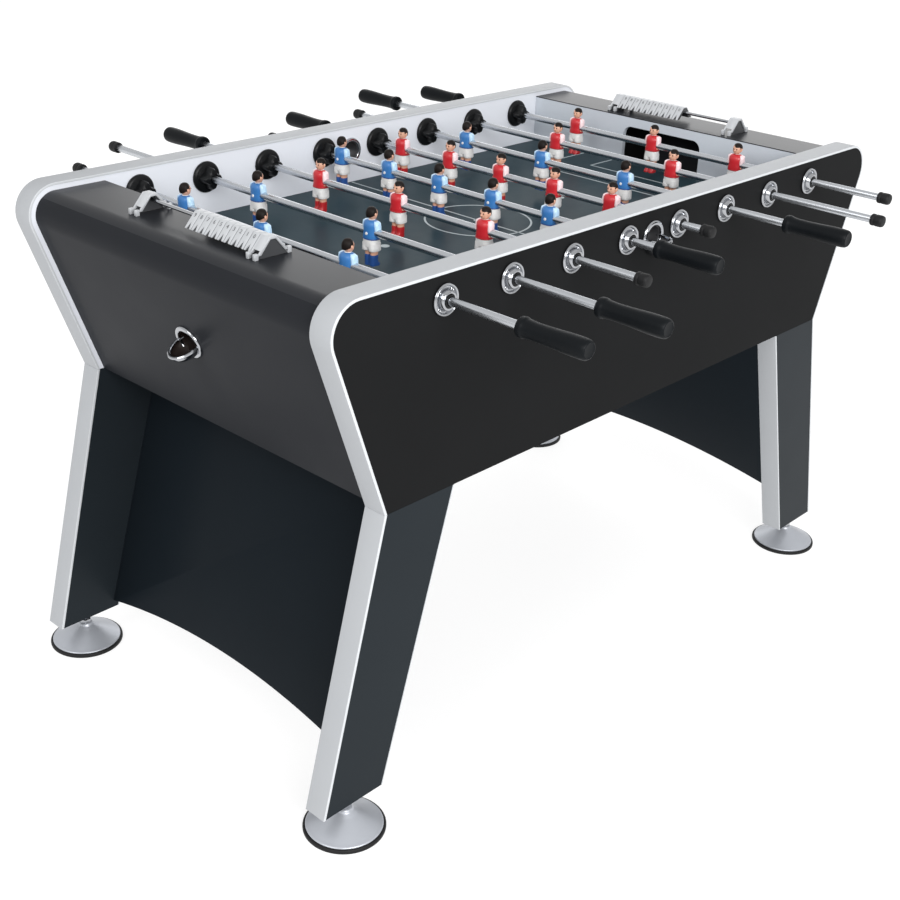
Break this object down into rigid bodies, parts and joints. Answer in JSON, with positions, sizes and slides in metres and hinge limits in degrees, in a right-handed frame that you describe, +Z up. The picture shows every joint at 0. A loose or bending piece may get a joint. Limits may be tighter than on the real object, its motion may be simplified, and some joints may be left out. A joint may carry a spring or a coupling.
{
  "type": "foosball table",
  "caption": "Table football table: splayed-end cabinet on four raked board legs, eight sliding and spinning rods of men, goals, ball returns, score counters and levelling feet.",
  "frame": {"origin": "on the floor under the middle of the table's overall box; the cabinet's own middle plane is Y = 0, and the parked rods put the box's centre 10 mm to the rear of it", "axes": "+X along the table's length towards the red goalkeeper's end, +Y across it towards the rear side, along the rods, +Z up"},
  "size_m": [1.422, 1.316, 0.888],
  "materials": {
    "black_laminate": "black laminate on board, satin",
    "slate_laminate": "blue-black laminate on board, satin",
    "light_laminate": "pale grey laminate on board, satin",
    "field_surface": "grey-green printed field, satin",
    "pine": "bare softwood",
    "bearing_plastic": "black nylon inside, chrome-plated flange outside",
    "chrome_rod": "polished chrome on steel tube",
    "grip_plastic": "black moulded grip",
    "cap_rubber": "black rubber",
    "foot_silver": "satin silver",
    "tile_silver": "silver plastic",
    "trim_silver": "silver edge band, satin",
    "chrome_plate": "chrome plate",
    "blue_kit": "moulded and painted",
    "red_kit": "moulded and painted",
    "white_kit": "moulded and painted",
    "skin": "moulded and painted",
    "hair": "moulded and painted",
    "line_white": "printed line"
  },
  "bodies": {
    "cabinet": {"side_panel_front": "black_laminate", "side_panel_rear": "black_laminate", "end_apron_left": "black_laminate", "end_apron_right": "black_laminate", "goal_wall_left": "light_laminate", "goal_wall_right": "light_laminate", "playfield": "field_surface", "field_brace": "pine", "leg_front_left": "slate_laminate", "leg_front_right": "slate_laminate", "leg_rear_left": "slate_laminate", "leg_rear_right": "slate_laminate", "leg_panel_left": "slate_laminate", "leg_panel_right": "slate_laminate", "bearing_front_1": "bearing_plastic", "bearing_front_2": "bearing_plastic", "bearing_front_3": "bearing_plastic", "bearing_front_4": "bearing_plastic", "bearing_front_5": "bearing_plastic", "bearing_front_6": "bearing_plastic", "bearing_front_7": "bearing_plastic", "bearing_front_8": "bearing_plastic", "bearing_rear_1": "bearing_plastic", "bearing_rear_2": "bearing_plastic", "bearing_rear_3": "bearing_plastic", "bearing_rear_4": "bearing_plastic", "bearing_rear_5": "bearing_plastic", "bearing_rear_6": "bearing_plastic", "bearing_rear_7": "bearing_plastic", "bearing_rear_8": "bearing_plastic"},
    "leveller_front_left": {"leveller_front_left": "foot_silver"},
    "leveller_front_right": {"leveller_front_right": "foot_silver"},
    "leveller_rear_left": {"leveller_rear_left": "foot_silver"},
    "leveller_rear_right": {"leveller_rear_right": "foot_silver"},
    "score_tiles_left": {"score_tiles_left": "tile_silver"},
    "score_tiles_right": {"score_tiles_right": "tile_silver"},
    "slider_1": {"end_cap_1": "cap_rubber"},
    "rod_1": {"rod_1": "chrome_rod", "handle_1": "grip_plastic"},
    "slider_2": {"end_cap_2": "cap_rubber"},
    "rod_2": {"rod_2": "chrome_rod", "handle_2": "grip_plastic"},
    "slider_3": {"end_cap_3": "cap_rubber"},
    "rod_3": {"rod_3": "chrome_rod", "handle_3": "grip_plastic"},
    "slider_4": {"end_cap_4": "cap_rubber"},
    "rod_4": {"rod_4": "chrome_rod", "handle_4": "grip_plastic"},
    "slider_5": {"end_cap_5": "cap_rubber"},
    "rod_5": {"rod_5": "chrome_rod", "handle_5": "grip_plastic"},
    "slider_6": {"end_cap_6": "cap_rubber"},
    "rod_6": {"rod_6": "chrome_rod", "handle_6": "grip_plastic"},
    "slider_7": {"end_cap_7": "cap_rubber"},
    "rod_7": {"rod_7": "chrome_rod", "handle_7": "grip_plastic"},
    "slider_8": {"end_cap_8": "cap_rubber"},
    "rod_8": {"rod_8": "chrome_rod", "handle_8": "grip_plastic"}
  },
  "joints": [
    {"name": "rod_1_push", "type": "slide", "parent": "cabinet", "child": "slider_1", "axis": [0, 1, 0], "range_m": [-0.1092, 0.0852]},
    {"name": "rod_1_spin", "type": "hinge", "parent": "slider_1", "child": "rod_1", "pos_m": [-0.4816, 0.012, 0.83], "axis": [0, 1, 0], "continuous": true},
    {"name": "rod_2_push", "type": "slide", "parent": "cabinet", "child": "slider_2", "axis": [0, 1, 0], "range_m": [-0.2042, 0.1002]},
    {"name": "rod_2_spin", "type": "hinge", "parent": "slider_2", "child": "rod_2", "pos_m": [-0.344, 0.052, 0.83], "axis": [0, 1, 0], "continuous": true},
    {"name": "rod_3_push", "type": "slide", "parent": "cabinet", "child": "slider_3", "axis": [0, 1, 0], "range_m": [-0.0912, 0.1032]},
    {"name": "rod_3_spin", "type": "hinge", "parent": "slider_3", "child": "rod_3", "pos_m": [-0.2064, -0.006, 0.83], "axis": [0, 1, 0], "continuous": true},
    {"name": "rod_4_push", "type": "slide", "parent": "cabinet", "child": "slider_4", "axis": [0, 1, 0], "range_m": [-0.0732, 0.0072]},
    {"name": "rod_4_spin", "type": "hinge", "parent": "slider_4", "child": "rod_4", "pos_m": [-0.0688, 0.033, 0.83], "axis": [0, 1, 0], "continuous": true},
    {"name": "rod_5_push", "type": "slide", "parent": "cabinet", "child": "slider_5", "axis": [0, 1, 0], "range_m": [-0.0522, 0.0282]},
    {"name": "rod_5_spin", "type": "hinge", "parent": "slider_5", "child": "rod_5", "pos_m": [0.0688, 0.012, 0.83], "axis": [0, 1, 0], "continuous": true},
    {"name": "rod_6_push", "type": "slide", "parent": "cabinet", "child": "slider_6", "axis": [0, 1, 0], "range_m": [-0.1272, 0.0672]},
    {"name": "rod_6_spin", "type": "hinge", "parent": "slider_6", "child": "rod_6", "pos_m": [0.2064, 0.03, 0.83], "axis": [0, 1, 0], "continuous": true},
    {"name": "rod_7_push", "type": "slide", "parent": "cabinet", "child": "slider_7", "axis": [0, 1, 0], "range_m": [-0.1202, 0.1842]},
    {"name": "rod_7_spin", "type": "hinge", "parent": "slider_7", "child": "rod_7", "pos_m": [0.344, -0.032, 0.83], "axis": [0, 1, 0], "continuous": true},
    {"name": "rod_8_push", "type": "slide", "parent": "cabinet", "child": "slider_8", "axis": [0, 1, 0], "range_m": [-0.0702, 0.1242]},
    {"name": "rod_8_spin", "type": "hinge", "parent": "slider_8", "child": "rod_8", "pos_m": [0.4816, -0.027, 0.83], "axis": [0, 1, 0], "continuous": true},
    {"name": "score_tiles_left_slide", "type": "slide", "parent": "cabinet", "child": "score_tiles_left", "axis": [0, 1, 0], "range_m": [0, 0.109]},
    {"name": "score_tiles_right_slide", "type": "slide", "parent": "cabinet", "child": "score_tiles_right", "axis": [0, 1, 0], "range_m": [-0.109, 0]},
    {"name": "leveller_front_left_turn", "type": "hinge", "parent": "cabinet", "child": "leveller_front_left", "pos_m": [-0.646, -0.354, 0], "axis": [0, 0, 1], "continuous": true},
    {"name": "leveller_front_right_turn", "type": "hinge", "parent": "cabinet", "child": "leveller_front_right", "pos_m": [0.646, -0.354, 0], "axis": [0, 0, 1], "continuous": true},
    {"name": "leveller_rear_left_turn", "type": "hinge", "parent": "cabinet", "child": "leveller_rear_left", "pos_m": [-0.646, 0.354, 0], "axis": [0, 0, 1], "continuous": true},
    {"name": "leveller_rear_right_turn", "type": "hinge", "parent": "cabinet", "child": "leveller_rear_right", "pos_m": [0.646, 0.354, 0], "axis": [0, 0, 1], "continuous": true}
  ]
}
